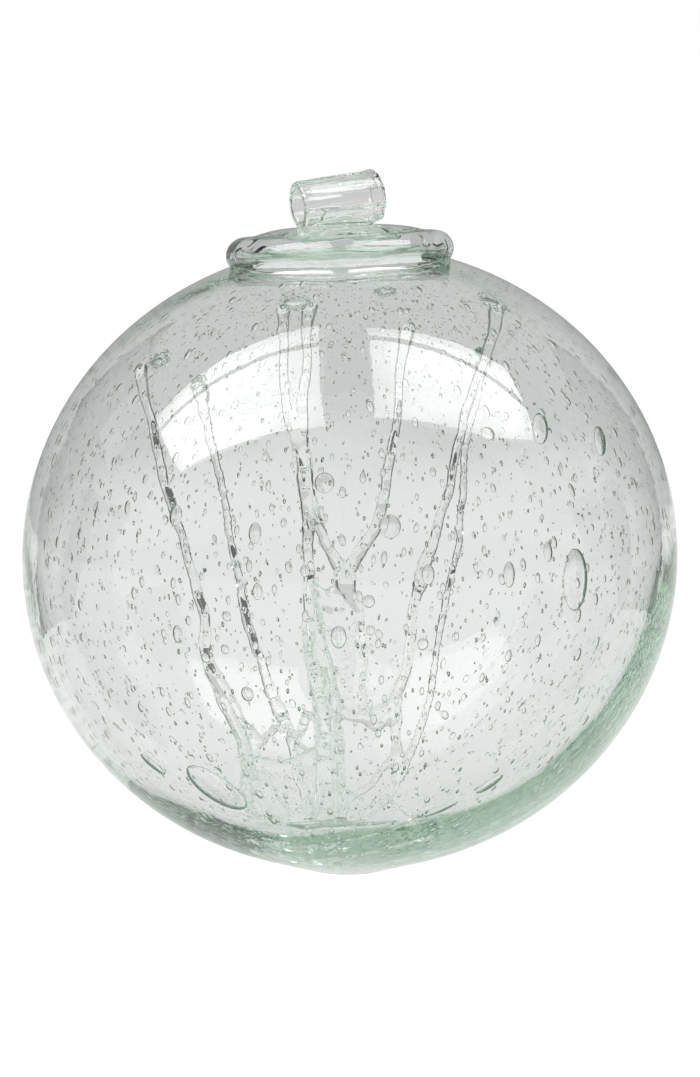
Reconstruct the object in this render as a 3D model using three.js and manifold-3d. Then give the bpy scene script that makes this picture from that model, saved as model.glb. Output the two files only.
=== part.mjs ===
// Witch ball: a hand-blown glass ball, sealed at the crown by a thick glass cap that carries a hanging loop.
// Millimetres, +Z up. The origin is the middle of the small flat spot under the ball, and the eye of the
// loop runs along X. The ball is sealed, so it is one solid body here.
import * as THREE from "three";
import { mergeVertices } from "three/addons/utils/BufferGeometryUtils.js";
import Module from "manifold-3d";

const wasm = await Module();
wasm.setup();

// The ball: two half ellipses that meet at the belly, and a blunt cone at the heel, which drops a little
// below the round bowl
const bellyRadius = 76.2;
const bellyHeight = 73.7;
const shoulderRise = 72.5;
const heelDrop = 0.7;
const bowlDepth = bellyHeight - heelDrop;
const flatSpotRadius = 9;
// How far the crown stands off the heel's axis, because the ball was blown a little off true
const crownLean = 1.4;
const ballSegments = 64;
const bowlRings = 18;
const shoulderRings = 18;

// The cap: a thick round rim and a flat-topped dome, with a soft crease between them. It sits a little off
// centre in a shallow seat in the crown, and its -X side is low.
const capRadius = 26.6;
const capThickness = 8.4;
const capDome = 2.0;
const rimRoll = 20;
const domePower = 4;
const capTilt = 2.5;
const capOffset = -1.6;
const crownCut = 6.0;
const seatRadius = 25.9;
const capSegments = 56;
const rimSteps = 10;
const domeSteps = 8;

// The loop: a band of glass curled round its eye, sunk a little into its flared foot
const eyeRadius = 3.9;
const bandThickness = 2.1;
const bandWidth = 20;
const bandPitch = 6;
const bandSink = 0.7;
const footLength = 16;
const footWidth = 11;
const footHeight = 2.6;
const footWaist = 0.72;
const bandSegments = 40;
const edgeSteps = 6;
const footSegments = 32;
const footSteps = 6;

// Fused pieces stand this far apart
const jointGap = 0.3;

const degrees = THREE.MathUtils.degToRad;

function solidOf(geometry) {
  const bare = geometry.clone();
  bare.deleteAttribute("normal");
  bare.deleteAttribute("uv");
  const merged = mergeVertices(bare, 1e-4);
  const vertProperties = new Float32Array(merged.attributes.position.array);
  const triVerts = new Uint32Array(merged.index.array);
  return new wasm.Manifold(new wasm.Mesh({ numProp: 3, vertProperties, triVerts }));
}

function geometryOf(solid) {
  const mesh = solid.getMesh();
  const geometry = new THREE.BufferGeometry();
  geometry.setAttribute("position", new THREE.BufferAttribute(new Float32Array(mesh.vertProperties), 3));
  geometry.setIndex(new THREE.BufferAttribute(new Uint32Array(mesh.triVerts), 1));
  geometry.computeVertexNormals();
  return geometry;
}

// A body turned about Z from a profile of radius and height, listed from its lowest point to its highest
function turned(profile, segments) {
  return new THREE.LatheGeometry(profile, segments).rotateX(Math.PI / 2);
}

// Points of an arc with its own radius across and up, from one angle to another
function arc(across, up, radiusAcross, radiusUp, from, to, steps) {
  return Array.from({ length: steps + 1 }, (_, i) => {
    const angle = from + ((to - from) * i) / steps;
    return new THREE.Vector2(across + radiusAcross * Math.cos(angle), up + radiusUp * Math.sin(angle));
  });
}

// Where the cone that starts at the flat spot's edge runs smoothly into the bowl, as an angle below the belly
function heelAngle() {
  const across = flatSpotRadius / bellyRadius;
  const down = bellyHeight / bowlDepth;
  return Math.atan2(down, across) - Math.acos(1 / Math.hypot(across, down));
}

const seatHeight = bellyHeight + shoulderRise - crownCut;
const seatFrame = new THREE.Matrix4()
  .makeTranslation(capOffset, 0, seatHeight)
  .multiply(new THREE.Matrix4().makeRotationY(-degrees(capTilt)));

// The round seat of the cap, open to the top
function crownCutter() {
  const height = 2 * shoulderRise;
  const above = new THREE.CylinderGeometry(seatRadius, seatRadius, height, capSegments).rotateX(Math.PI / 2);
  return above.translate(0, 0, height / 2).applyMatrix4(seatFrame);
}

function ballGeometry() {
  const profile = [
    new THREE.Vector2(0, 0),
    new THREE.Vector2(flatSpotRadius, 0),
    ...arc(0, bellyHeight, bellyRadius, bowlDepth, -heelAngle(), 0, bowlRings),
    ...arc(0, bellyHeight, bellyRadius, shoulderRise, 0, Math.PI / 2, shoulderRings).slice(1, -1),
    new THREE.Vector2(0, bellyHeight + shoulderRise),
  ];
  const lean = new THREE.Matrix4().makeShear(0, 0, 0, 0, crownLean / (bellyHeight + shoulderRise), 0);
  const whole = turned(profile, ballSegments).applyMatrix4(lean);
  return geometryOf(solidOf(whole).subtract(solidOf(crownCutter())));
}

// The rim rolls over past its top, down to the crease where the dome starts
function capGeometry() {
  const rim = capThickness / 2;
  const rimTurn = arc(capRadius - rim, rim, rim, rim, -Math.PI / 2, Math.PI / 2 + degrees(rimRoll), rimSteps);
  const crease = rimTurn[rimTurn.length - 1];
  const rise = capThickness + capDome - crease.y;
  const dome = Array.from({ length: domeSteps }, (_, i) => {
    const share = 1 - (i + 1) / domeSteps;
    return new THREE.Vector2(crease.x * share, crease.y + rise * (1 - share ** domePower));
  });
  return turned([new THREE.Vector2(0, 0), ...rimTurn, ...dome], capSegments);
}

const eyeRise = eyeRadius + bandThickness - bandSink;

// The curled band about its own axis, with round edges
function bandGeometry() {
  const edge = bandThickness / 2;
  const middle = eyeRadius + edge;
  const half = bandWidth / 2 - edge;
  const section = [
    ...arc(middle, -half, edge, edge, -Math.PI, 0, edgeSteps),
    ...arc(middle, half, edge, edge, 0, Math.PI, edgeSteps),
  ];
  section.push(section[0].clone());
  return new THREE.LatheGeometry(section, bandSegments).rotateZ(-Math.PI / 2);
}

function eyeCutter() {
  return new THREE.CylinderGeometry(eyeRadius, eyeRadius, 2 * bandWidth, bandSegments).rotateZ(-Math.PI / 2);
}

// The foot narrows from the cap to a waist, and ends against the sides of the band
function footGeometry() {
  const flare = arc(1, footHeight, 1 - footWaist, footHeight, -Math.PI / 2, -Math.PI, footSteps);
  const profile = [new THREE.Vector2(0, 0), ...flare, new THREE.Vector2(0, footHeight)];
  return turned(profile, footSegments).scale(footLength / 2, footWidth / 2, 1);
}

// Everything below the foot, where the band would sink into the cap
function footCutter() {
  return new THREE.BoxGeometry(2 * bandWidth, 2 * bandWidth, bandWidth).translate(0, 0, -bandWidth / 2);
}

function loopGeometry() {
  const place = new THREE.Matrix4()
    .makeTranslation(0, 0, eyeRise)
    .multiply(new THREE.Matrix4().makeRotationY(-degrees(bandPitch)));
  const band = solidOf(bandGeometry().applyMatrix4(place));
  const eye = solidOf(eyeCutter().applyMatrix4(place));
  const whole = solidOf(footGeometry()).subtract(eye).add(band);
  return geometryOf(whole.subtract(solidOf(footCutter())));
}

function glass(colour) {
  return new THREE.MeshStandardMaterial({
    color: colour,
    roughness: 0.03,
    metalness: 0,
    transparent: true,
    opacity: 0.35,
  });
}

function named(name, geometry, material) {
  const mesh = new THREE.Mesh(geometry, material);
  mesh.name = name;
  return mesh;
}

const witchBall = new THREE.Group();
witchBall.add(named("glass_ball", ballGeometry(), glass(0xdfe8e4)));

// The cap and the loop share the tilt of the seat
const hanger = new THREE.Group();
hanger.applyMatrix4(seatFrame);
const cap = named("cap", capGeometry(), glass(0xc9dccf));
cap.position.z = jointGap;
const loop = named("hanging_loop", loopGeometry(), glass(0xd3e2d8));
loop.position.z = jointGap + capThickness + capDome + jointGap;
hanger.add(cap, loop);
witchBall.add(hanger);

export default witchBall;
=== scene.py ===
import math
import random

import bmesh
import bpy
import numpy as np
import openvdb
from mathutils import Matrix, Vector, noise


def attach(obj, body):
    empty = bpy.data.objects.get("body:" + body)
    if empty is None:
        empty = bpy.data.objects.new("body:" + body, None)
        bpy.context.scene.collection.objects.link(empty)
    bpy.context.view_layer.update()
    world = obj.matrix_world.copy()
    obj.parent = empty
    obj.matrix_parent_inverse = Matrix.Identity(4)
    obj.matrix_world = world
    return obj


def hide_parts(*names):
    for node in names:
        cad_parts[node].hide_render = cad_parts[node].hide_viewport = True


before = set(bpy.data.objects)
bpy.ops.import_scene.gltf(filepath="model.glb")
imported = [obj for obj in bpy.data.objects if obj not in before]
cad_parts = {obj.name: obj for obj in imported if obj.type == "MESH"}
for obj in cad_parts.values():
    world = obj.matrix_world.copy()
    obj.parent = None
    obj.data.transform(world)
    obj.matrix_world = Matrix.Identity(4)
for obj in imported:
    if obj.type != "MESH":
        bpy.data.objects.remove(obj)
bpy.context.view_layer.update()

mm = 0.001
up = Vector((0, 0, 1))
print("witch ball: frame loaded")


def addNode(tree, kind, settings=None, values=None, feeds=None):
    # adds one node, sets it and links (input, node, output) feeds to it
    made = tree.nodes.new(kind)
    for name, value in (settings or {}).items():
        setattr(made, name, value)
    for name, value in (values or {}).items():
        made.inputs[name].default_value = value
    for name, source, output in feeds or ():
        tree.links.new(source.outputs[output], made.inputs[name])
    return made


def linearColour(hexCode):
    # sRGB hex to the linear colour that the shader wants
    parts = [int(hexCode[i:i + 2], 16) / 255 for i in (1, 3, 5)]
    return [p / 12.92 if p <= 0.04045 else ((p + 0.055) / 1.055) ** 2.4 for p in parts] + [1.0]


# the camera stands 20 degrees round from the loop's eye, a little above the belly
camera = {
    "azimuth": -20,
    "elevation": 5.5,
    "lens": 120,
    "sensor": 36,
    "frameHigh": 251.1 * mm,    # what the frame's height spans at the ball
    "aimUp": 77.8 * mm,
    "aimAcross": 0.7 * mm,
    "nearest": 0.05,
    "farthest": 50,
}


def turnedBack(azimuth, elevation):
    # unit vector from the ball to a camera at these angles
    a, e = math.radians(azimuth), math.radians(elevation)
    return Vector((math.sin(a) * math.cos(e), -math.cos(a) * math.cos(e), math.sin(e)))


toCamera = turnedBack(camera["azimuth"], 0)
away = -toCamera
across = Vector((math.cos(math.radians(camera["azimuth"])), math.sin(math.radians(camera["azimuth"])), 0))


def placeCamera():
    data = bpy.data.cameras.new("studioCamera")
    data.lens = camera["lens"]
    data.sensor_width = camera["sensor"]
    data.clip_start = camera["nearest"]
    data.clip_end = camera["farthest"]
    made = bpy.data.objects.new("studioCamera", data)
    bpy.context.scene.collection.objects.link(made)
    back = turnedBack(camera["azimuth"], camera["elevation"])
    distance = camera["frameHigh"] * camera["lens"] / camera["sensor"]
    aim = up * camera["aimUp"] + across * camera["aimAcross"]
    made.location = aim + back * distance
    made.rotation_mode = "QUATERNION"
    made.rotation_quaternion = (-back).to_track_quat("-Z", "Y")
    bpy.context.scene.camera = made


placeCamera()
print("camera placed")


def newObject(name, mesh, material):
    made = bpy.data.objects.new(name, mesh)
    bpy.context.scene.collection.objects.link(made)
    mesh.materials.append(material)
    return made


def meshOf(name, points, faces, smooth=True):
    mesh = bpy.data.meshes.new(name)
    mesh.from_pydata([tuple(p) for p in points], [], [tuple(f) for f in faces])
    mesh.polygons.foreach_set("use_smooth", [smooth] * len(mesh.polygons))
    mesh.update()
    return mesh


# Clear soda-lime glass from the gather: nearly white at the skin, sea green where it is deep
glassLook = {
    "tint": "#fefefe",
    "ior": 1.515,
    "roughness": 0.0,
    "bodyColour": [0.46, 0.77, 0.53, 1.0],    # what is left of each colour, with the density below
    "bodyDensity": 12.0,                      # per metre
    "rippleSize": 11 * mm,                    # blown glass ripples about every centimetre
    "rippleHeight": 0.05 * mm,
    "rippleDetail": 1.5,
    "rippleRoughness": 0.4,
    "grainSize": 1.6 * mm,
    "grainHeight": 0.004 * mm,
    "grainDetail": 1.0,
}


def blownSodaLimeGlass(name, withBody):
    # blown and fire-polished: clear and glossy, with slow ripples that bend what is seen through it
    look = glassLook
    material = bpy.data.materials.new(name)
    material.use_nodes = True
    tree = material.node_tree
    tree.nodes.clear()
    place = addNode(tree, "ShaderNodeTexCoord")
    grain = addNode(tree, "ShaderNodeTexNoise", {"noise_dimensions": "3D"},
                    {"Scale": 1 / look["grainSize"], "Detail": look["grainDetail"]},
                    [("Vector", place, "Object")])
    relief = [("Height", grain, "Fac")]
    if withBody:
        # a bubble is too small to show the slow ripples
        ripple = addNode(tree, "ShaderNodeTexNoise", {"noise_dimensions": "3D"},
                         {"Scale": 1 / look["rippleSize"], "Detail": look["rippleDetail"],
                          "Roughness": look["rippleRoughness"]},
                         [("Vector", place, "Object")])
        slow = addNode(tree, "ShaderNodeBump", {}, {"Strength": 1.0, "Distance": look["rippleHeight"]},
                       [("Height", ripple, "Fac")])
        relief.append(("Normal", slow, "Normal"))
    fine = addNode(tree, "ShaderNodeBump", {}, {"Strength": 1.0, "Distance": look["grainHeight"]}, relief)
    skin = addNode(tree, "ShaderNodeBsdfPrincipled", {}, {
        "Base Color": linearColour(look["tint"]),
        "IOR": look["ior"],
        "Roughness": look["roughness"],
        "Transmission Weight": 1.0,
    }, [("Normal", fine, "Normal")])
    out = addNode(tree, "ShaderNodeOutputMaterial", {}, {}, [("Surface", skin, "BSDF")])
    if withBody:
        body = addNode(tree, "ShaderNodeVolumeAbsorption", {}, {
            "Color": look["bodyColour"],
            "Density": look["bodyDensity"],
        })
        tree.links.new(body.outputs["Volume"], out.inputs["Volume"])
    return material


# The ball's own sizes, in millimetres, as the solids have them
ball = {
    "bellyRadius": 76.2,
    "bellyHeight": 73.7,
    "shoulderRise": 72.5,
    "heelDrop": 0.7,
    "flatSpotRadius": 9.0,
    "crownLean": 1.4,
    "around": 120,
    "rings": 36,
    "wall": 2.7,            # at the belly
    "crownWall": 3.2,
    "heelWall": 4.8,
    "thickSide": 3.0,       # more glass low on the right, where it sagged before it set
    "thickSideFall": 6,     # how fast that glass thins out round the place
    "wallWave": 0.3,
    "wallWaveScale": 2.3,
    "heelSpan": (-0.75, -1.45),     # the lift where the wall starts to thicken, and where it is full
    "crownSpan": (0.9, 1.5),
}
ball["bowlDepth"] = ball["bellyHeight"] - ball["heelDrop"]
sagged = (across * 0.72 - up * 0.70 + away * 0.05).normalized()


def heelAngle():
    # where the cone from the flat spot's edge meets the bowl, as an angle below the belly
    side = ball["flatSpotRadius"] / ball["bellyRadius"]
    down = ball["bellyHeight"] / ball["bowlDepth"]
    return math.atan2(down, side) - math.acos(1 / math.hypot(side, down))


def leaned(point):
    # the crown stands a little off the heel's axis
    height = ball["bellyHeight"] + ball["shoulderRise"]
    return Vector((point[0] + point[2] * ball["crownLean"] / height, point[1], point[2]))


def turnedFaces(rings, around):
    # faces between rings of points, closed by one pole point before and one after
    faces = []
    for j in range(around):
        k = (j + 1) % around
        faces.append((0, 1 + k, 1 + j))
        for i in range(rings - 1):
            a, b = 1 + i * around, 1 + (i + 1) * around
            faces.append((a + j, a + k, b + k, b + j))
        last = 1 + (rings - 1) * around
        faces.append((last + j, last + k, last + around))
    return faces


def ballSkin():
    # flat spot, cone, bowl and shoulder, lowest first
    profile = [(ball["flatSpotRadius"] * s, 0) for s in (0.5, 1.0)]
    steps = ball["rings"]
    start = -heelAngle()
    for i in range(steps + 1):
        angle = start * (1 - i / steps)
        profile.append((ball["bellyRadius"] * math.cos(angle),
                        ball["bellyHeight"] + ball["bowlDepth"] * math.sin(angle)))
    for i in range(1, steps):
        angle = math.pi / 2 * i / steps
        profile.append((ball["bellyRadius"] * math.cos(angle),
                        ball["bellyHeight"] + ball["shoulderRise"] * math.sin(angle)))
    around = ball["around"]
    points = [leaned((0, 0, 0))]
    for radius, height in profile:
        for j in range(around):
            turn = math.tau * j / around
            points.append(leaned((radius * math.cos(turn), radius * math.sin(turn), height)))
    points.append(leaned((0, 0, ball["bellyHeight"] + ball["shoulderRise"])))
    return [p * mm for p in points], turnedFaces(len(profile), around)


def smoothStep(low, high, value):
    t = min(1.0, max(0.0, (value - low) / (high - low)))
    return t * t * (3 - 2 * t)


def skinPoint(lift, turn):
    # a point on the outer skin and its normal, in millimetres, from the angle above the belly and round it
    rise = ball["shoulderRise"] if lift > 0 else ball["bowlDepth"]
    radius = ball["bellyRadius"]
    flat = Vector((math.cos(turn), math.sin(turn), 0))
    point = flat * radius * math.cos(lift) + up * (ball["bellyHeight"] + rise * math.sin(lift))
    normal = (flat * math.cos(lift) / radius + up * math.sin(lift) / rise).normalized()
    return leaned(point), normal


def wallThickness(lift, turn):
    # millimetres of glass at this place
    low = smoothStep(*ball["heelSpan"], lift)
    high = smoothStep(*ball["crownSpan"], lift)
    flat = Vector((math.cos(turn), math.sin(turn), 0))
    way = flat * math.cos(lift) + up * math.sin(lift)
    sag = max(0.0, way.dot(sagged))
    wave = noise.noise(way * ball["wallWaveScale"] + Vector((4.1, 0.3, 7.7)))
    wall = ball["wall"]
    return (wall + (ball["heelWall"] - wall) * low + (ball["crownWall"] - wall) * high
            + ball["thickSide"] * sag ** ball["thickSideFall"] + ball["wallWave"] * wave)


def hollowSkin():
    # the air inside the ball, before the strands are taken from it
    rings, around = 2 * ball["rings"], ball["around"]
    points = []
    for i in range(rings + 1):
        lift = math.pi * (i / rings - 0.5)
        for j in range(around if 0 < i < rings else 1):
            turn = math.tau * j / around
            point, normal = skinPoint(lift, turn)
            points.append((point - normal * wallThickness(lift, turn)) * mm)
    return points, turnedFaces(rings - 1, around)


# The cap: a thick round rim and a flat-topped dome, with a soft crease between them, in millimetres
cap = {
    "radius": 26.4,
    "thickness": 8.4,
    "dome": 1.9,
    "rimRoll": 20,      # how far past its top the rim rolls over, in degrees
    "domePower": 4,
    "tilt": 2.5,
    "offset": -1.6,
    "crownCut": 6.0,
    "gap": 0.3,
    "around": 112,
    "rimSteps": 16,
    "topSteps": 16,
    "rimWave": 0.012,   # how much of its radius and of its height the rim loses in places
    "topWave": 0.02,
    "sunk": 0.25,       # how far hot glass has closed the gap to the seat
}
seatHeight = ball["bellyHeight"] + ball["shoulderRise"] - cap["crownCut"]
seatFrame = (Matrix.Translation(Vector((cap["offset"], 0, seatHeight)))
             @ Matrix.Rotation(math.radians(-cap["tilt"]), 4, "Y"))


def capSkin():
    rim = cap["thickness"] / 2
    centre = cap["radius"] - rim
    profile = [(centre * s, 0.0) for s in (0.35, 0.7)]
    roll = math.pi + math.radians(cap["rimRoll"])
    for i in range(cap["rimSteps"] + 1):
        angle = roll * i / cap["rimSteps"] - math.pi / 2
        profile.append((centre + rim * math.cos(angle), rim + rim * math.sin(angle)))
    crease, creaseHeight = profile[-1]
    rise = cap["thickness"] + cap["dome"] - creaseHeight
    for i in range(1, cap["topSteps"]):
        share = 1 - i / cap["topSteps"]
        profile.append((crease * share, creaseHeight + rise * (1 - share ** cap["domePower"])))
    points = [Vector((0, 0, 0))]
    for radius, height in profile:
        for j in range(cap["around"]):
            turn = math.tau * j / cap["around"]
            way = Vector((math.cos(turn), math.sin(turn), 0))
            wave = noise.noise(way * 1.1 + Vector((2.2, 8.1, 0)))
            swell = noise.noise(way * 1.7 + Vector((0, 3.3, 5.0)) + up * height * 0.12)
            reach = radius * (1 - cap["rimWave"] * abs(wave))
            lift = height * (1 - cap["topWave"] * abs(swell)) if height > 0.1 else 0.0
            points.append(way * reach + up * lift)
    points.append(Vector((0, 0, cap["thickness"] + cap["dome"])))
    place = seatFrame @ Matrix.Translation(Vector((0, 0, cap["gap"] - cap["sunk"])))
    return [place @ p * mm for p in points], turnedFaces(len(profile), cap["around"])


class room:
    # a block of space on a fine grid, in millimetres, that shapes are drawn into as distances
    def __init__(self, low, high, step):
        self.low, self.step = Vector(low), step
        counts = [int(math.ceil((b - a) / step)) + 1 for a, b in zip(low, high)]
        self.axes = [np.float32(a) + np.arange(n, dtype=np.float32) * np.float32(step)
                     for a, n in zip(low, counts)]
        self.far = np.float32(4.0)      # what the room holds where nothing is near
        self.margin = 3.0               # how far round a rod its distance is worked out
        self.field = np.full(counts, self.far, np.float32)

    def window(self, low, high):
        parts = []
        for axis, a, b in zip(self.axes, low, high):
            parts.append(slice(max(0, int((a - axis[0]) / self.step)),
                               max(0, min(len(axis), int((b - axis[0]) / self.step) + 2))))
        return tuple(parts)

    def grid(self, part):
        return [self.axes[0][part[0]][:, None, None], self.axes[1][part[1]][None, :, None],
                self.axes[2][part[2]][None, None, :]]

    def rod(self, points, radii):
        # the distance to a rod of changing thickness, over the window that it fills
        reach = max(radii) + self.margin
        low = [min(p[i] for p in points) - reach for i in range(3)]
        high = [max(p[i] for p in points) + reach for i in range(3)]
        whole = self.window(low, high)
        local = np.full(self.field[whole].shape, self.far, np.float32)
        for a, b, ra, rb in zip(points, points[1:], radii, radii[1:]):
            pad = max(ra, rb) + self.margin
            part = self.window([min(a[i], b[i]) - pad for i in range(3)],
                               [max(a[i], b[i]) + pad for i in range(3)])
            inner = tuple(slice(p.start - w.start, p.stop - w.start) for p, w in zip(part, whole))
            spot = local[inner]
            if not spot.size:
                continue
            x, y, z = self.grid(part)
            run = b - a
            size = max(run.length_squared, 1e-9)
            dx, dy, dz = x - a[0], y - a[1], z - a[2]
            share = np.clip((dx * run[0] + dy * run[1] + dz * run[2]) / size, 0, 1)
            square = (dx - share * run[0]) ** 2 + (dy - share * run[1]) ** 2 + (dz - share * run[2]) ** 2
            np.minimum(spot, np.sqrt(square) - (ra + (rb - ra) * share), out=spot)
        return whole, local

    def fuse(self, whole, local, softness):
        # hot glass runs together: a smooth minimum
        old = self.field[whole]
        nearer = np.minimum(old, local)
        overlap = np.clip(softness - np.abs(old - local), 0, None) / softness
        overlap[nearer > softness] = 0
        self.field[whole] = nearer - overlap * overlap * softness / 4

    def skin(self):
        grid = openvdb.FloatGrid(float(self.far))
        grid.copyFromArray(self.field)
        points, quads = grid.convertToQuads(0.0)
        points = points * self.step + np.array(self.low, dtype=np.float32)
        return points, quads


def smoothRun(spots, count, thinnest):
    # a Catmull-Rom curve through (x, y, z, radius) spots
    run = [Vector(s) for s in spots]
    run = [run[0] * 2 - run[1]] + run + [run[-1] * 2 - run[-2]]
    points, radii = [], []
    for i in range(1, len(run) - 2):
        a, b, c, d = run[i - 1:i + 3]
        for s in range(count):
            t = s / count
            p = 0.5 * ((2 * b) + (c - a) * t + (2 * a - 5 * b + 4 * c - d) * t * t
                       + (3 * b - a - 3 * c + d) * t ** 3)
            points.append(p.to_3d())
            radii.append(max(thinnest, p[3]))
    points.append(run[-2].to_3d())
    radii.append(run[-2][3])
    return points, radii


# The strands inside, as (across, away, height, half thickness) in millimetres seen from the camera's side.
# Each comes off the upper wall and runs down to the root at the heel.
strands = {
    "leftFront": [(-46.6, -35, 124.5, 3.0), (-44.5, -34, 114.7, 1.3), (-42.9, -33, 105.2, 1.1),
                  (-40.1, -30, 92.0, 1.2), (-36.6, -26, 80.0, 1.1), (-33.1, -22, 64.3, 1.3),
                  (-32.2, -19, 54.0, 1.5), (-29.4, -16, 46.7, 1.3), (-23.8, -12, 36.0, 1.1),
                  (-20.5, -9, 26.8, 1.2), (-14.2, -4, 9.9, 1.8), (-6.8, 0, 0.6, 2.6)],
    "leftFold": [(-31.0, -17, 49.1, 0.9), (-28.9, -16, 41.5, 0.9), (-24.0, -14, 31.3, 0.9),
                 (-23.1, -11, 20.0, 1.0), (-16.8, -5, 6.5, 1.4)],
    "leftBack": [(-38.0, 50, 116.5, 2.8), (-35.2, 46, 104.8, 1.3), (-33.1, 42, 95.6, 1.1),
                 (-30.1, 38, 83.2, 1.0), (-26.1, 30, 62.8, 1.1), (-23.8, 26, 53.4, 1.3),
                 (-19.8, 18, 42.9, 1.3), (-16.8, 12, 36.0, 1.8), (-14.2, 8, 31.5, 1.4),
                 (-11.0, 4, 18.5, 1.5), (-6.3, 1, 3.6, 2.2)],
    "frontTwin": [(-13.3, -40, 138.2, 2.8), (-14.0, -38, 126.8, 1.2), (-13.8, -34, 110.0, 1.2),
                  (-11.4, -31, 101.5, 1.1), (-9.1, -27, 91.8, 1.2)],
    "trunk": [(-7.2, -41, 138.3, 2.4), (-8.6, -38, 125.6, 1.2), (-9.8, -34, 111.2, 1.3),
              (-9.1, -26, 89.3, 1.6), (-8.6, -22, 74.9, 1.4), (-8.6, -16, 55.6, 1.6),
              (-7.7, -13, 47.8, 2.0), (-5.6, -9, 39.7, 2.3), (-5.4, -5, 26.4, 2.4),
              (-4.9, -2, 12.1, 2.6), (-4.4, 0, 0.6, 4.0)],
    "rightFront": [(13.1, -47, 132.3, 2.4), (12.1, -44, 120.3, 1.2), (11.0, -40, 107.1, 1.1),
                   (9.1, -37, 97.4, 1.2), (7.0, -32, 84.7, 1.3), (1.6, -27, 75.4, 1.5),
                   (-0.5, -26, 71.1, 1.5)],
    "fork": [(-9.1, -26, 90.0, 1.1), (-6.8, -27, 84.3, 1.2), (-3.5, -27, 77.7, 1.3), (-0.5, -26, 71.1, 1.5)],
    "webEdge": [(-0.5, -26, 71.1, 1.5), (2.8, -23, 63.7, 1.1), (4.0, -18, 53.4, 1.0), (3.3, -13, 43.6, 1.1),
                (4.9, -10, 37.2, 1.3), (7.0, -10, 34.9, 1.3), (9.1, -11, 38.0, 1.1), (11.0, -12, 41.8, 1.0)],
    "right": [(32.4, -27, 136.7, 3.0), (33.1, -28, 130.5, 1.8), (31.0, -28, 121.1, 1.2),
              (27.7, -28, 112.5, 1.0), (25.2, -27, 103.5, 1.1), (22.8, -26, 91.7, 1.1),
              (19.3, -24, 79.8, 1.2), (17.0, -22, 71.4, 1.8), (15.4, -20, 65.3, 1.2),
              (14.2, -16, 53.2, 1.2), (11.9, -13, 43.6, 1.3), (11.2, -11, 36.4, 1.2),
              (12.4, -9, 26.8, 1.3), (11.4, -7, 19.6, 1.3), (9.1, -5, 15.2, 1.2), (3.0, -3, 8.0, 1.4),
              (-2.6, 0, 1.3, 2.2)],
    "rightBack": [(35.2, 46, 123.5, 2.8), (32.4, 42, 110.9, 1.1), (29.8, 40, 99.4, 1.0),
                  (26.8, 33, 76.6, 0.9), (22.4, 26, 56.2, 0.9), (19.6, 17, 38.3, 0.9),
                  (15.2, 10, 25.0, 1.0), (10.0, 7, 15.9, 1.1), (0.7, 2, 4.2, 1.6)],
    "rightSpur": [(9.6, -6, 15.3, 1.0), (14.2, -9, 12.7, 0.9), (22.0, -15, 6.5, 1.8)],
    "leftSpike": [(-13.3, -2, 5.0, 1.4), (-19.8, -6, 11.0, 0.9), (-25.9, -10, 17.5, 0.8),
                  (-28.2, -13, 23.7, 0.5)],
    "leftSpikeTwo": [(-12.1, -1, 6.1, 1.4), (-19.3, -5, 14.2, 0.9), (-23.3, -9, 24.5, 0.5)],
    "crossTie": [(11.4, -9, 28.7, 0.9), (4.9, -6, 20.4, 1.0), (-0.2, -3, 15.4, 1.2), (-3.5, -1, 8.5, 1.5)],
    "trunkBack": [(-8.0, -10, 61.0, 1.2), (-7.4, -5, 50.0, 1.5), (-6.4, -1, 40.0, 1.7), (-5.6, 3, 27.0, 1.8),
                  (-5.0, 4, 12.0, 1.9), (-4.4, 2, 2.0, 2.6)],
    "trunkSide": [(-7.0, -20, 64.0, 0.9), (-4.6, -14, 52.0, 1.1), (-2.6, -9, 40.0, 1.1),
                  (-1.8, -6, 27.0, 1.2), (-2.2, -3, 13.0, 1.4), (-3.4, 0, 1.5, 2.0)],
    "creaseRight": [(-3.0, -4, 5.5, 2.4), (6.0, -9, 7.0, 1.7), (14.0, -13, 9.0, 1.4), (21.0, -15, 12.0, 1.1),
                    (25.0, -16, 14.5, 0.7)],
    "creaseLeft": [(-5.0, -3, 5.5, 2.4), (-13.0, -9, 8.0, 1.5), (-22.0, -15, 12.0, 1.2),
                   (-31.0, -19, 17.0, 0.8)],
    "fan": [(-21.0, -6, 17.5, 0.9), (-17.5, -6, 11.0, 1.7), (-13.0, -4, 6.5, 2.4), (-7.0, -2, 4.5, 2.8)],
    "leftSwag": [(-22.6, -11, 34.2, 1.0), (-19.8, -8, 31.4, 1.1), (-16.8, 1, 32.2, 1.0),
                 (-14.0, 6, 31.2, 1.1), (-11.4, 1, 31.5, 1.2), (-9.1, -6, 36.8, 1.2)],
}
# Thin webs that the hot strands drew between them: two strands, a stretch of height on each, and the sag
webs = [
    ("trunk", "webEdge", 36.0, 71.5, 2.5),
    ("trunk", "trunkBack", 3.0, 58.0, 0.0),
    ("trunkSide", "trunkBack", 6.0, 50.0, 0.0),
    ("trunk", "leftFold", 4.0, 30.0, 3.0),
    ("leftBack", "trunk", 6.0, 30.0, 2.0),
    ("trunk", "right", 4.0, 14.0, 1.5),
    ("leftFront", "leftFold", 10.0, 44.0, 1.0),
]
strandForm = {
    "low": (-58, -62, -1),      # the block of space that they are drawn in
    "high": (58, 66, 142),
    "step": 0.6,
    "between": 9,               # points from each spot to the next
    "thinnest": 0.35,
    "sway": 0.7,
    "lump": 0.14,               # how much the rods swell and narrow
    "softness": 2.2,            # how far round a join the hot glass ran together
    "webHalf": 0.6,
    "webUneven": 0.4,
    "webStep": 0.7,
    "webSoftness": 0.5,
    "beads": 90,                # small blisters that stand out from the strands
    "beadSmall": 0.45,
    "beadLarge": 0.95,
    "beadSoftness": 0.7,
}


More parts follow.
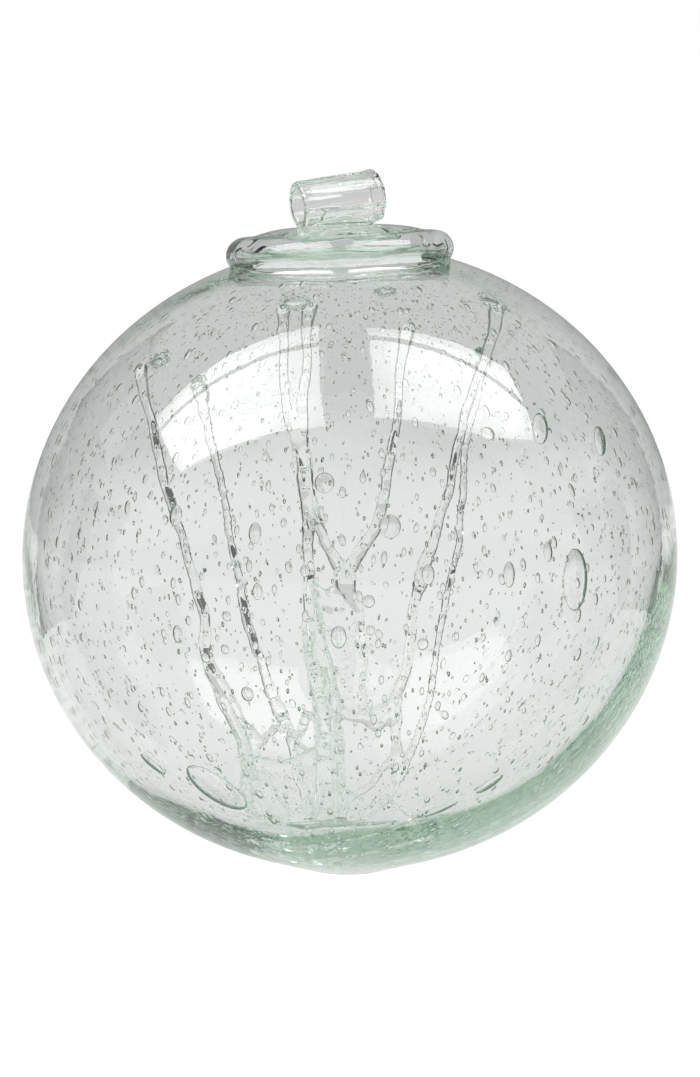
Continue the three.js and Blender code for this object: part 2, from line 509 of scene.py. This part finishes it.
def fromCameraSide(spot):
    # (across, away, height) to the part's own axes, in millimetres
    return across * spot[0] + away * spot[1] + up * spot[2]


def strandRun(spots):
    # the points along a strand and its half thickness at each, a little wavy and uneven
    points, radii = smoothRun([(*fromCameraSide(s), s[3]) for s in spots],
                              strandForm["between"], strandForm["thinnest"])
    for i, p in enumerate(points):
        wobble = Vector([noise.noise(p * 0.16 + up * 3 * k) for k in (1, 2, 3)])
        points[i] = p + wobble * strandForm["sway"]
        radii[i] *= 1 + strandForm["lump"] * noise.noise(p * 0.55)
    return points, radii


def alongRun(points, share):
    # the place at this share of the way along a run of points
    at = share * (len(points) - 1)
    i = min(int(at), len(points) - 2)
    return points[i].lerp(points[i + 1], at - i)


def strandTree():
    # every strand, web and blister fused into one body
    dice = random.Random(7)
    space = room(strandForm["low"], strandForm["high"], strandForm["step"])
    runs = {name: strandRun(spots) for name, spots in strands.items()}
    for points, radii in runs.values():
        space.fuse(*space.rod(points, radii), strandForm["softness"])
    for first, second, low, high, sag in webs:
        one = [p for p in runs[first][0] if low <= p.z <= high]
        two = [p for p in runs[second][0] if low <= p.z <= high]
        rows = int((high - low) / strandForm["webStep"])
        for i in range(rows + 1):
            a, b = alongRun(one, i / rows), alongRun(two, i / rows)
            middle = (a + b) / 2 - up * sag
            ribs = [a, a.lerp(middle, 0.55), middle, middle.lerp(b, 0.45), b]
            uneven = [1 + strandForm["webUneven"] * noise.noise(p * 0.3) for p in ribs]
            thick = [strandForm["webHalf"] * u for u in uneven]
            space.fuse(*space.rod(ribs, thick), strandForm["webSoftness"])
    names = list(runs)
    for _ in range(strandForm["beads"]):
        points, radii = runs[dice.choice(names)]
        k = dice.randrange(len(points))
        turn = Vector([dice.gauss(0, 1) for _ in range(3)]).normalized()
        size = dice.uniform(strandForm["beadSmall"], strandForm["beadLarge"]) * dice.uniform(0.7, 1)
        spot = points[k] + turn * (radii[k] + size * 0.25)
        bead = space.rod([spot, spot + up * size * 0.8], [size, size * 0.8])
        space.fuse(*bead, strandForm["beadSoftness"])
    points, quads = space.skin()
    return points * mm, quads


# The hanging loop, in millimetres: a band of glass curled round its eye, its low side fused into the cap
loop = {
    "eye": 3.7,
    "band": 2.3,
    "long": 19.8,
    "pitch": 6.0,
    "sink": 0.75,
    "footLong": 16.0,
    "footWide": 11.0,
    "footHigh": 2.6,
    "footWaist": 0.72,
    "footSoftness": 1.4,    # how far round the join band and foot ran together
    "sunk": 0.2,            # how far hot glass has closed the gap to the cap
    "toolLines": (0.22, 0.17, 0.11),    # how deep the broad, the middle and the narrow ones are
    "rolled": 0.22,         # how much thicker the ends are, and how far in from them that lies
    "rolledIn": 1.2,
    "low": (-12.5, -7.5, -3.4),     # the block of space that it is drawn in
    "high": (12.5, 7.5, 14.4),
    "step": 0.34,
}


def loopSkin():
    space = room(loop["low"], loop["high"], loop["step"])
    x, y, z = space.grid((slice(None),) * 3)
    eyeRise = loop["band"] + loop["eye"] - loop["sink"]
    tip = math.radians(loop["pitch"])
    # the band's own axes: s along the eye, (y, v) round it
    s = x * math.cos(tip) + (z - eyeRise) * math.sin(tip)
    v = (z - eyeRise) * math.cos(tip) - x * math.sin(tip)
    radius = np.sqrt(y * y + v * v)
    turn = np.arctan2(v, y)
    half = loop["long"] / 2
    middle = loop["eye"] + loop["band"] / 2
    # tool lines run the length of the band, the section is a little flattened and both ends are rolled
    broad, medium, narrow = loop["toolLines"]
    flats = (broad * np.cos(4 * turn + 0.5) + medium * np.sin(9 * turn + s * 0.12)
             + narrow * np.sin(17 * turn - s * 0.2))
    inset = loop["rolledIn"]
    rolled = np.exp(-((s - half + inset) / 1.0) ** 2) + 0.6 * np.exp(-((s + half - inset) / 0.9) ** 2)
    thick = loop["band"] / 2 + loop["rolled"] * rolled - 0.18
    sideways = np.abs(radius - (middle + flats * 0.6 - 0.12)) - thick * 0.55
    along = np.abs(s) - (half - thick * 0.45)
    outside = np.sqrt(np.clip(sideways, 0, None) ** 2 + np.clip(along, 0, None) ** 2)
    band = outside + np.minimum(np.maximum(sideways, along), 0) - thick * 0.45
    # the foot narrows to a waist and opens out on the cap, drawn out unevenly while it was hot
    lift = np.clip(z / loop["footHigh"], 0, 1)
    flare = 1 - (1 - loop["footWaist"]) * np.sqrt(1 - (1 - lift) ** 2)
    bearing = np.arctan2(y, x)
    pulled = 1 + 0.06 * np.sin(3 * bearing + 0.8) + 0.04 * np.sin(7 * bearing)
    reach = np.sqrt((x / (loop["footLong"] / 2)) ** 2 + (y / (loop["footWide"] / 2)) ** 2) / (flare * pulled)
    foot = np.maximum((reach - 1) * loop["footWide"] / 2, np.abs(z - 0.1) - loop["footHigh"])
    foot = np.maximum(foot, -(radius - loop["eye"]))
    softness = loop["footSoftness"]
    overlap = np.clip(softness - np.abs(band - foot), 0, None) / softness
    space.field = np.float32(np.minimum(band, foot) - overlap * overlap * softness / 4)
    points, quads = space.skin()
    rise = 2 * cap["gap"] + cap["thickness"] + cap["dome"]
    place = seatFrame @ Matrix.Translation(Vector((0, 0, rise - loop["sunk"])))
    return [place @ Vector(p) * mm for p in points.tolist()], quads


def joined(name, first, second, operation):
    # one closed body from two, by Blender's manifold solver
    objects = []
    for points, faces in (first, second):
        mesh = meshOf(name, points, faces)
        made = bpy.data.objects.new(name, mesh)
        bpy.context.scene.collection.objects.link(made)
        objects.append(made)
    step = objects[0].modifiers.new("join", "BOOLEAN")
    step.solver = "MANIFOLD"
    step.operation = operation
    step.object = objects[1]
    done = objects[0].evaluated_get(bpy.context.evaluated_depsgraph_get()).to_mesh()
    points = [v.co.copy() for v in done.vertices]
    faces = [tuple(p.vertices) for p in done.polygons]
    objects[0].to_mesh_clear()
    for o in objects:
        data = o.data
        bpy.data.objects.remove(o)
        bpy.data.meshes.remove(data)
    return points, faces


def outwards(points, faces):
    # turns a closed skin so that its faces point out
    held = 0.0
    for f in faces:
        for i in range(1, len(f) - 1):
            held += Vector(points[f[0]]).dot(Vector(points[f[i]]).cross(Vector(points[f[i + 1]])))
    if held < 0:
        faces = [tuple(reversed(f)) for f in faces]
    return points, faces


glass = blownSodaLimeGlass("blownSodaLimeGlass", True)
bubbleWall = blownSodaLimeGlass("bubbleWall", False)


def glassBody():
    # the outer skin with its cap and loop, and the hollow with the strands left standing in it
    skin = joined("skin", outwards(*ballSkin()), outwards(*capSkin()), "UNION")
    print("cap fused on", len(skin[1]))
    skin = joined("skin", skin, outwards(*loopSkin()), "UNION")
    print("loop fused on", len(skin[1]))
    strandPoints, strandFaces = outwards(*strandTree())
    print("strands drawn", len(strandFaces))
    hollow = joined("hollow", outwards(*hollowSkin()), (strandPoints, strandFaces), "DIFFERENCE")
    print("hollow cut", len(hollow[1]))
    shift = len(skin[0])
    points = list(skin[0]) + list(hollow[0])
    faces = list(skin[1]) + [tuple(i + shift for i in reversed(f)) for f in hollow[1]]
    made = newObject("witchBallGlass", meshOf("witchBallGlass", points, faces), glass)
    made.data.set_sharp_from_angle(angle=math.radians(50))
    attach(made, "root")
    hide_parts("glass_ball", "cap", "hanging_loop")
    triangles = sum(len(p.vertices) - 2 for p in made.data.polygons)
    print("glass body made,", triangles, "triangles")


glassBody()


# Seeds and bubbles in the wall: half widths in millimetres, how much longer than wide and how flat they are,
# the sine of the lift where they start and end, how far they stray, and the turn of the first
seeds = {
    "fineSeeds": {"count": 3400, "small": 0.16, "large": 0.40, "longer": 2.0, "flat": 0.20, "detail": 1,
                  "from": -0.97, "to": 0.92, "play": 0.022, "start": 0.0},
    "wallBubbles": {"count": 1350, "small": 0.36, "large": 0.80, "longer": 1.9, "flat": 0.16, "detail": 2,
                    "from": -0.97, "to": 0.92, "play": 0.030, "start": 1.0},
    "crownSeeds": {"count": 2000, "small": 0.10, "large": 0.24, "longer": 1.3, "flat": 0.55, "detail": 1,
                   "from": 0.68, "to": 0.93, "play": 0.018, "start": 2.0},
}
goldenTurn = math.pi * (3 - math.sqrt(5))   # from each seed to the next
seedDepth = (0.35, 0.65)                    # shares of the wall
seedLean = 0.09
seedFall = 2.2                              # the higher it is, the rarer the large ones are
airShare = 0.36                             # of the wall, that half a bubble may take
# Rings of small bubbles where the hot strands were stuck to the wall: across and up from the middle of the
# view, half length and half width of the ring in millimetres, and its lean in degrees
swirls = [
    (-14.4, 55.6, 3.8, 2.1, 0), (32.4, 55.4, 4.3, 1.7, -32), (-46.0, 42.0, 3.2, 1.7, 30),
    (7.0, 58.0, 2.6, 1.0, 0),
]
swirl = {"count": 110, "small": 0.12, "large": 0.34, "inside": 0.5, "depth": (0.25, 0.7), "longer": 1.6,
         "detail": 1}
# Bubbles large enough to place one by one: across and up from the middle of the view, half width and half
# length in millimetres, and lean in degrees
largeBubbles = [
    (52.4, -9.7, 3.6, 6.8, 0), (43.8, 26.0, 2.1, 4.0, -25), (57.8, 23.0, 2.0, 3.8, -30),
    (36.8, -8.5, 1.4, 2.8, 0), (45.9, -3.1, 1.2, 2.2, 0), (-7.0, 13.2, 2.1, 2.3, 0),
    (8.6, 2.9, 2.3, 2.6, 0), (-3.3, -23.2, 1.65, 2.5, 0), (-23.3, 1.3, 1.4, 2.3, 0),
    (-42.0, 5.5, 1.6, 2.3, 0), (-41.3, -22.5, 1.2, 2.0, 0), (-24.7, -36.5, 1.4, 1.8, 0),
    (31.5, 24.8, 1.6, 1.6, 0), (17.7, -8.5, 1.4, 2.2, 0), (21.9, -41.4, 0.8, 1.3, 30),
    (-22.6, -12.5, 1.1, 1.8, 0), (-11.4, -7.6, 1.0, 1.3, 0), (3.7, -14.8, 1.3, 1.4, 0),
    (4.2, -21.6, 0.95, 1.1, 0), (16.6, -24.8, 1.2, 1.4, 0), (-29.8, -18.3, 0.95, 1.1, 0),
    (-34.7, -28.1, 0.95, 1.1, 0), (-30.1, -26.0, 0.95, 1.1, 0), (21.4, -63.3, 0.9, 4.0, -51),
    (32.6, -57.5, 1.5, 3.5, -40), (-46.6, -52.8, 1.5, 3.5, 40), (-31.7, -58.4, 5.0, 8.0, 35),
    (-14.0, 55.8, 2.8, 1.6, 0), (31.5, 55.6, 2.8, 1.6, 0), (-46.6, 41.6, 1.8, 1.2, 0),
]
largeForm = {"thickest": 0.32, "flat": 0.2, "depth": 0.5, "detail": 3}
# Air drawn out inside the strands: share of the strand's thickness, half length and spacing in millimetres
strandAir = {"thick": 0.42, "long": 1.1, "every": 4.2, "thickest": 2.2, "detail": 2}
# Flat films of air folded into the strands, which mirror the black cards behind the ball: strand, lowest and
# highest place in millimetres
airFilms = [
    ("leftFront", 101.0, 105.5), ("leftFront", 86.5, 91.5), ("leftFront", 63.5, 67.0),
    ("leftFront", 50.0, 56.5), ("leftBack", 47.0, 59.5), ("leftBack", 70.0, 73.0),
    ("trunk", 66.0, 73.5), ("trunk", 55.0, 63.0), ("trunk", 82.0, 85.0), ("right", 95.5, 99.5),
    ("right", 66.0, 69.5), ("right", 63.0, 65.2), ("right", 48.0, 56.0), ("rightFront", 99.0, 103.0),
    ("rightFront", 108.0, 111.5), ("frontTwin", 94.0, 98.0), ("webEdge", 54.0, 60.0),
    ("webEdge", 44.0, 50.0), ("rightBack", 80.0, 84.0), ("rightBack", 64.0, 67.0),
]
film = {
    "long": 2.8,
    "wide": 1.15,
    "thin": 0.07,
    "every": 1.9,
    "turn": 25,         # off the line to the camera's side, in degrees, with this much play
    "play": 2,
    "share": 0.88,      # of the strand's thickness that a film may take
    "detail": 3,
}


def ballOfAir(detail):
    # the points and faces of a small round bubble, faces turned to the air inside
    shape = bmesh.new()
    bmesh.ops.create_icosphere(shape, subdivisions=detail, radius=1)
    points = np.array([v.co for v in shape.verts])
    faces = np.array([[v.index for v in reversed(f.verts)] for f in shape.faces])
    shape.free()
    return points, faces


def bubbleAt(lift, turn, depth, halfLong, halfWide, halfThick, lean):
    # axes of a bubble in the wall, long way up the ball unless it leans
    point, normal = skinPoint(lift, turn)
    wall = wallThickness(lift, turn)
    upward = (up - normal * normal.z).normalized()
    sideways = normal.cross(upward)
    longWay = upward * math.cos(lean) + sideways * math.sin(lean)
    wideWay = normal.cross(longWay)
    centre = point - normal * wall * depth
    thickWay = normal * min(halfThick, wall * airShare)
    return centre * mm, longWay * halfLong * mm, wideWay * halfWide * mm, thickWay * mm


def scattered(name, places, detail):
    points, faces = ballOfAir(detail)
    allPoints, allFaces = [], []
    for centre, longWay, wideWay, thickWay in places:
        axes = np.array([longWay, wideWay, thickWay])
        allFaces.append(faces + len(allPoints) * len(points))
        allPoints.append(points @ axes + np.array(centre))
    mesh = meshOf(name, np.concatenate(allPoints), np.concatenate(allFaces).tolist())
    made = newObject(name, mesh, bubbleWall)
    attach(made, "root")
    print(name, len(places))


def seedPlaces(kind, dice):
    # turned on evenly from the lowest to the highest, each a little off its place
    places = []
    lowest, highest = kind["from"], kind["to"]
    for i in range(kind["count"]):
        even = lowest + (highest - lowest) * (i + 0.5) / kind["count"]
        lift = math.asin(min(max(even + dice.gauss(0, kind["play"]), lowest), highest))
        turn = kind["start"] + goldenTurn * i + dice.gauss(0, kind["play"]) / math.cos(lift)
        size = kind["small"] + (kind["large"] - kind["small"]) * dice.random() ** seedFall
        longer = 1 + (kind["longer"] - 1) * dice.uniform(0.6, 1.2)
        depth = dice.uniform(*seedDepth)
        lean = dice.gauss(0, seedLean)
        places.append(bubbleAt(lift, turn, depth, size * longer, size, size * kind["flat"], lean))
    return places


def seenFromCamera(side, rise):
    # where the camera's line through this place of the view, in millimetres, first meets the ball's skin
    back = turnedBack(camera["azimuth"], camera["elevation"])
    lifted = back.cross(across).normalized()
    aim = up * camera["aimUp"] + across * camera["aimAcross"]
    start = aim / mm + back * camera["frameHigh"] / mm * camera["lens"] / camera["sensor"]
    line = (aim / mm + across * side + lifted * rise - start).normalized()
    middle = up * ball["bellyHeight"]
    squash = [1 / ball["bellyRadius"], 1 / ball["bellyRadius"], 1 / ball["shoulderRise"]]
    begin = Vector([a * b for a, b in zip(start - middle, squash)])
    run = Vector([a * b for a, b in zip(line, squash)])
    half, size = begin.dot(run), run.dot(run)
    reach = (-half - math.sqrt(max(0.0, half * half - size * (begin.dot(begin) - 1)))) / size
    met = begin + run * reach
    return math.asin(max(-1.0, min(1.0, met.z))), math.atan2(met.y, met.x)


def largePlaces():
    places = []
    for side, rise, halfWide, halfLong, lean in largeBubbles:
        lift, turn = seenFromCamera(side, rise)
        halfThick = min(largeForm["thickest"], halfWide * largeForm["flat"])
        places.append(bubbleAt(lift, turn, largeForm["depth"], halfLong, halfWide, halfThick,
                               math.radians(lean)))
    return places


def swirlPlaces(dice):
    places = []
    for side, rise, ringLong, ringWide, ringLean in swirls:
        lean = math.radians(ringLean)
        for _ in range(swirl["count"]):
            turn = dice.uniform(0, math.tau)
            share = dice.uniform(swirl["inside"], 1)
            along, off = ringLong * share * math.cos(turn), ringWide * share * math.sin(turn)
            lift, around = seenFromCamera(side + along * math.cos(lean) - off * math.sin(lean),
                                          rise + along * math.sin(lean) + off * math.cos(lean))
            size = dice.uniform(swirl["small"], swirl["large"])
            depth = dice.uniform(*swirl["depth"])
            halfLong = size * dice.uniform(1, swirl["longer"])
            places.append(bubbleAt(lift, around, depth, halfLong, size, size, dice.uniform(0, math.pi)))
    return places


def strandPlaces(dice):
    # drawn-out air along the middle of each strand
    places = []
    for spots in strands.values():
        points, radii = strandRun(spots)
        left = strandAir["every"]
        for i in range(2, len(points) - 2):
            left -= (points[i] - points[i - 1]).length
            if left > 0 or radii[i] > strandAir["thickest"]:
                continue
            left = strandAir["every"] * dice.uniform(0.6, 1.8)
            longWay = (points[i + 1] - points[i - 1]).normalized()
            wideWay = longWay.orthogonal().normalized()
            half = radii[i] * strandAir["thick"] * dice.uniform(0.7, 1.0)
            places.append((points[i] * mm, longWay * strandAir["long"] * dice.uniform(0.6, 1.2) * mm,
                           wideWay * half * mm, longWay.cross(wideWay) * half * mm))
    return places


def filmPlaces(dice):
    # short overlapping films, each turned a little off the line to the camera's side of the room
    places = []
    for name, low, high in airFilms:
        points, radii = strandRun(strands[name])
        left = 0.0
        for i in range(2, len(points) - 2):
            if not low <= points[i].z <= high:
                continue
            left -= (points[i] - points[i - 1]).length
            if left > 0:
                continue
            left = film["every"]
            longWay = (points[i + 1] - points[i - 1]).normalized()
            turn = math.radians(film["turn"] + dice.uniform(-film["play"], film["play"]))
            facing = Matrix.Rotation(turn, 3, longWay) @ toCamera
            wideWay = (facing - longWay * facing.dot(longWay)).normalized()
            wide = min(film["wide"], radii[i] * film["share"]) * dice.uniform(0.75, 1.0)
            places.append((points[i] * mm, longWay * film["long"] * dice.uniform(0.6, 1.0) * mm,
                           wideWay * wide * mm, longWay.cross(wideWay) * film["thin"] * mm))
    return places


dice = random.Random(20)
for name, kind in seeds.items():
    scattered(name, seedPlaces(kind, dice), kind["detail"])
scattered("swirlBubbles", swirlPlaces(dice), swirl["detail"])
scattered("largeBubbles", largePlaces(), largeForm["detail"])
scattered("strandBubbles", strandPlaces(dice), strandAir["detail"])
scattered("airFilms", filmPlaces(dice), film["detail"])


# Air folded into the rim of the cap when the gather was pressed down: a flattened ring, in millimetres
capAir = {
    "radius": 19.6,
    "wide": 4.7,
    "high": 2.5,
    "rise": 4.3,
    "around": 144,
    "section": 28,
    "crinkle": 0.05,
    "wideSwell": 0.10,
    "highSwell": 0.22,
    "trim": 0.06,
    "drift": 0.4,
    "riseDrift": 0.3,
}


def foldedRing():
    points, faces = [], []
    around, section = capAir["around"], capAir["section"]
    for j in range(around):
        turn = math.tau * j / around
        way = Vector((math.cos(turn), math.sin(turn), 0))
        swell = noise.noise(way * 1.3 + Vector((6.0, 1.0, 2.0)))
        drift = noise.noise(way * 2.1 + Vector((0.5, 9.0, 4.0)))
        for k in range(section):
            roll = math.tau * k / section
            crinkle = 1 + capAir["crinkle"] * noise.noise(way * 9 + up * 3 * math.cos(roll))
            wide = capAir["wide"] * (1 + capAir["wideSwell"] * swell - capAir["trim"]) * crinkle
            high = capAir["high"] * (1 + capAir["highSwell"] * swell - capAir["trim"]) * crinkle
            radius = capAir["radius"] + capAir["drift"] * drift + wide * math.cos(roll)
            height = capAir["rise"] + capAir["riseDrift"] * drift + high * math.sin(roll)
            points.append(way * radius + up * height)
            a, b = j * section, (j + 1) % around * section
            faces.append((a + k, a + (k + 1) % section, b + (k + 1) % section, b + k))
    points = [seatFrame @ p * mm for p in points]
    points, faces = outwards(points, faces)
    made = newObject("capAir", meshOf("capAir", points, [tuple(reversed(f)) for f in faces]), bubbleWall)
    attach(made, "root")
    print("air folded into the cap")


foldedRing()


# The studio: a pale floor that glows like a light table, with a painted shadow in its glow under the ball, a
# white surround, two soft overhead lights with a rail under each, and black flags and cards
studio = {
    "floorRadius": 2.6,
    "floorDrop": 0.2 * mm,    # so that it stays clear of the flat spot
    "floorGlow": 0.80,
    "floorGlowFar": 0.60,
    "floorGlowPaintedShadow": 0.60,   # painted shadow: the glow under the ball, dimmed as the glass sees it
    "floorGlowSeen": 1.0,     # straight to the camera
    "floorGrey": 0.22,
    "floorSides": 64,
    # how far out from the middle the painted shadow under the ball reaches, in metres
    "paintedShadowReach": 0.16,
    "farSpan": (0.8, 2.3),    # where the glow starts to fall off, and where it has
    "surround": 0.62,
    "surroundHigh": 0.52,
    "surroundSpan": (0.30, 0.75),   # the share of the way up where it starts to dim, and where it has
    "surroundMirrored": 0.5,
    "softHeight": 1.2,
    "railHeight": 1.18,
    "softGlow": 7.0,          # as the skin mirrors it
    "softGlowThrough": 2.6,   # as the glass bends it
    "softEdge": 0.55,         # what is left of it at the edge of a panel
    "softSpan": (0.22, 0.52),   # where it fades, as shares of the panel's width out from its middle
    "flagAngles": (67.5, 112.5, 202.5, 247.5),
    "flagDistance": 2.3,
    "flagWide": 1.10,
    "flagLow": 0.5,
    "flagHigh": 1.6,
    "cardAngles": (103, 217),   # black cards on the table behind the ball, far ends turned up
    "cardSpread": 20,
    "cardNear": 0.28,
    "cardFar": 2.4,
    "cardHigh": 0.9,
}


def stagePiece(name, corners, faces, material):
    made = newObject(name, meshOf(name, corners, faces, False), material)
    return made


def glowing(name, colour, strength):
    material = bpy.data.materials.new(name)
    material.use_nodes = True
    tree = material.node_tree
    tree.nodes.clear()
    glow = addNode(tree, "ShaderNodeEmission", {}, {"Color": colour, "Strength": strength})
    addNode(tree, "ShaderNodeOutputMaterial", {}, {}, [("Surface", glow, "Emission")])
    return material


def softboxGlow():
    # brightest in the middle of each panel, as a real softbox is
    material = bpy.data.materials.new("softboxGlow")
    material.use_nodes = True
    tree = material.node_tree
    tree.nodes.clear()
    path = addNode(tree, "ShaderNodeLightPath")
    place = addNode(tree, "ShaderNodeTexCoord")
    parts = addNode(tree, "ShaderNodeSeparateXYZ", {}, {}, [("Vector", place, "Generated")])
    edges = []
    start, end = studio["softSpan"]
    for axis in ("X", "Y"):
        middle = addNode(tree, "ShaderNodeMath", {"operation": "SUBTRACT"}, {1: 0.5}, [(0, parts, axis)])
        reach = addNode(tree, "ShaderNodeMath", {"operation": "ABSOLUTE"}, {}, [(0, middle, "Value")])
        edges.append(addNode(tree, "ShaderNodeMapRange", {"interpolation_type": "SMOOTHSTEP"},
                             {"From Min": start, "From Max": end, "To Min": 1.0,
                              "To Max": studio["softEdge"]},
                             [("Value", reach, "Value")]))
    both = addNode(tree, "ShaderNodeMath", {"operation": "MULTIPLY"}, {},
                   [(0, edges[0], "Result"), (1, edges[1], "Result")])
    level = addNode(tree, "ShaderNodeMix", {"data_type": "FLOAT"},
                    {"A": studio["softGlowThrough"], "B": studio["softGlow"]},
                    [("Factor", path, "Is Reflection Ray")])
    strength = addNode(tree, "ShaderNodeMath", {"operation": "MULTIPLY"}, {},
                       [(0, both, "Value"), (1, level, "Result")])
    glow = addNode(tree, "ShaderNodeEmission", {}, {}, [("Strength", strength, "Value")])
    addNode(tree, "ShaderNodeOutputMaterial", {}, {}, [("Surface", glow, "Emission")])
    return material


def layFloor():
    around = studio["floorSides"]
    radius = studio["floorRadius"]
    start, end = studio["farSpan"]
    corners = [Vector((math.cos(math.tau * i / around), math.sin(math.tau * i / around), 0)) * radius
               for i in range(around)]
    material = bpy.data.materials.new("paleFloor")
    material.use_nodes = True
    tree = material.node_tree
    tree.nodes.clear()
    path = addNode(tree, "ShaderNodeLightPath")
    place = addNode(tree, "ShaderNodeTexCoord")
    distance = addNode(tree, "ShaderNodeVectorMath", {"operation": "LENGTH"}, {}, [(0, place, "Object")])
    # painted shadow: the floor's glow is turned down under the ball for every ray but the camera's
    paintedShadow = addNode(tree, "ShaderNodeMapRange", {"interpolation_type": "SMOOTHSTEP"},
                     {"From Min": 0.0, "From Max": studio["paintedShadowReach"], "To Min": studio["floorGlowPaintedShadow"],
                      "To Max": studio["floorGlow"]}, [("Value", distance, "Value")])
    farther = addNode(tree, "ShaderNodeMapRange", {"interpolation_type": "SMOOTHSTEP"},
                      {"From Min": start, "From Max": end, "To Min": 0.0,
                       "To Max": studio["floorGlowFar"] - studio["floorGlow"]},
                      [("Value", distance, "Value")])
    spread = addNode(tree, "ShaderNodeMath", {"operation": "ADD"}, {},
                     [(0, paintedShadow, "Result"), (1, farther, "Result")])
    level = addNode(tree, "ShaderNodeMix", {"data_type": "FLOAT"}, {"B": studio["floorGlowSeen"]},
                    [("Factor", path, "Is Camera Ray"), ("A", spread, "Value")])
    glow = addNode(tree, "ShaderNodeEmission", {}, {"Color": linearColour("#ffffff")},
                   [("Strength", level, "Result")])
    matt = addNode(tree, "ShaderNodeBsdfDiffuse", {}, {"Color": [studio["floorGrey"]] * 3 + [1.0]})
    both = addNode(tree, "ShaderNodeAddShader", {}, {}, [(0, glow, "Emission"), (1, matt, "BSDF")])
    addNode(tree, "ShaderNodeOutputMaterial", {}, {}, [("Surface", both, "Shader")])
    corners = [c - up * studio["floorDrop"] for c in corners]
    stagePiece("paleFloor", corners, [tuple(range(around))], material)


# Corners of the two overhead softboxes and of the rails under them, as (across, towards the camera) in
# shares of their height over the belly
overhead = {
    "softboxLeft": [(-1.28, -0.15), (-0.13, -0.16), (-0.17, 0.70), (-1.62, 0.62)],
    "softboxRight": [(0.06, -0.12), (0.75, -0.22), (1.41, 0.18), (1.00, 0.50), (0.14, 0.63)],
    "railLeft": [(-1.34, -0.015), (-0.12, -0.015), (-0.12, 0.02), (-1.34, 0.02)],
    "railRight": [(0.05, -0.06), (1.40, -0.06), (1.40, -0.02), (0.05, -0.02)],
}


def hangLights():
    base = up * ball["bellyHeight"] * mm
    soft = softboxGlow()
    black = glowing("blackFlag", [0, 0, 0, 1], 0.0)
    for name, outline in overhead.items():
        rail = name.startswith("rail")
        high = studio["railHeight" if rail else "softHeight"]
        corners = [base + (across * side + toCamera * front + up) * high for side, front in outline]
        made = stagePiece(name, corners, [tuple(range(len(corners)))], black if rail else soft)
        made.visible_camera = False
        made.visible_diffuse = False
        made.visible_transmission = not rail
    for angle in studio["flagAngles"]:
        a = math.radians(angle)
        way = Vector((math.sin(a), -math.cos(a), 0))
        side = Vector((way.y, -way.x, 0)) * studio["flagWide"] / 2
        foot = way * studio["flagDistance"] + up * studio["flagLow"]
        head = way * studio["flagDistance"] + up * studio["flagHigh"]
        made = stagePiece("flag%d" % angle, [foot - side, foot + side, head + side, head - side],
                          [(0, 1, 2, 3)], black)
        made.visible_camera = False
        made.visible_diffuse = False
        made.visible_glossy = False
    for angle in studio["cardAngles"]:
        corners = []
        for reach, high in (("cardNear", mm), ("cardFar", mm), ("cardFar", studio["cardHigh"])):
            for turn in (-1, 1):
                a = math.radians(angle + turn * studio["cardSpread"])
                corners.append(Vector((math.sin(a), -math.cos(a), 0)) * studio[reach] + up * high)
        made = stagePiece("card%d" % angle, corners, [(0, 1, 3, 2), (2, 3, 5, 4)], black)
        made.visible_camera = False
        made.visible_diffuse = False
        made.visible_glossy = False


def lightSurround():
    world = bpy.data.worlds.new("surround")
    bpy.context.scene.world = world
    world.use_nodes = True
    tree = world.node_tree
    tree.nodes.clear()
    start, end = studio["surroundSpan"]
    way = addNode(tree, "ShaderNodeTexCoord")
    parts = addNode(tree, "ShaderNodeSeparateXYZ", {}, {}, [("Vector", way, "Generated")])
    fall = addNode(tree, "ShaderNodeMapRange", {"interpolation_type": "SMOOTHSTEP"},
                   {"From Min": start, "From Max": end, "To Min": studio["surround"],
                    "To Max": studio["surroundHigh"]}, [("Value", parts, "Z")])
    path = addNode(tree, "ShaderNodeLightPath")
    mirrored = addNode(tree, "ShaderNodeMath", {"operation": "MULTIPLY_ADD"},
                       {1: studio["surroundMirrored"] - 1, 2: 1.0}, [(0, path, "Is Reflection Ray")])
    dimmed = addNode(tree, "ShaderNodeMath", {"operation": "MULTIPLY"}, {},
                     [(0, fall, "Result"), (1, mirrored, "Value")])
    level = addNode(tree, "ShaderNodeMix", {"data_type": "FLOAT"}, {"B": 1.0},
                    [("Factor", path, "Is Camera Ray"), ("A", dimmed, "Value")])
    back = addNode(tree, "ShaderNodeBackground", {}, {"Color": linearColour("#ffffff")},
                   [("Strength", level, "Result")])
    addNode(tree, "ShaderNodeOutputWorld", {}, {}, [("Surface", back, "Background")])


layFloor()
hangLights()
lightSurround()

scene = bpy.context.scene
scene.view_settings.view_transform = "Standard"
bounces = 48    # light runs a long way round inside the thick wall
scene.cycles.max_bounces = bounces
scene.cycles.transmission_bounces = bounces
scene.cycles.glossy_bounces = bounces
scene.cycles.diffuse_bounces = 2
scene.cycles.use_denoising = True
scene.cycles.sample_clamp_indirect = 8
scene.cycles.blur_glossy = 0.0
print("studio lit")
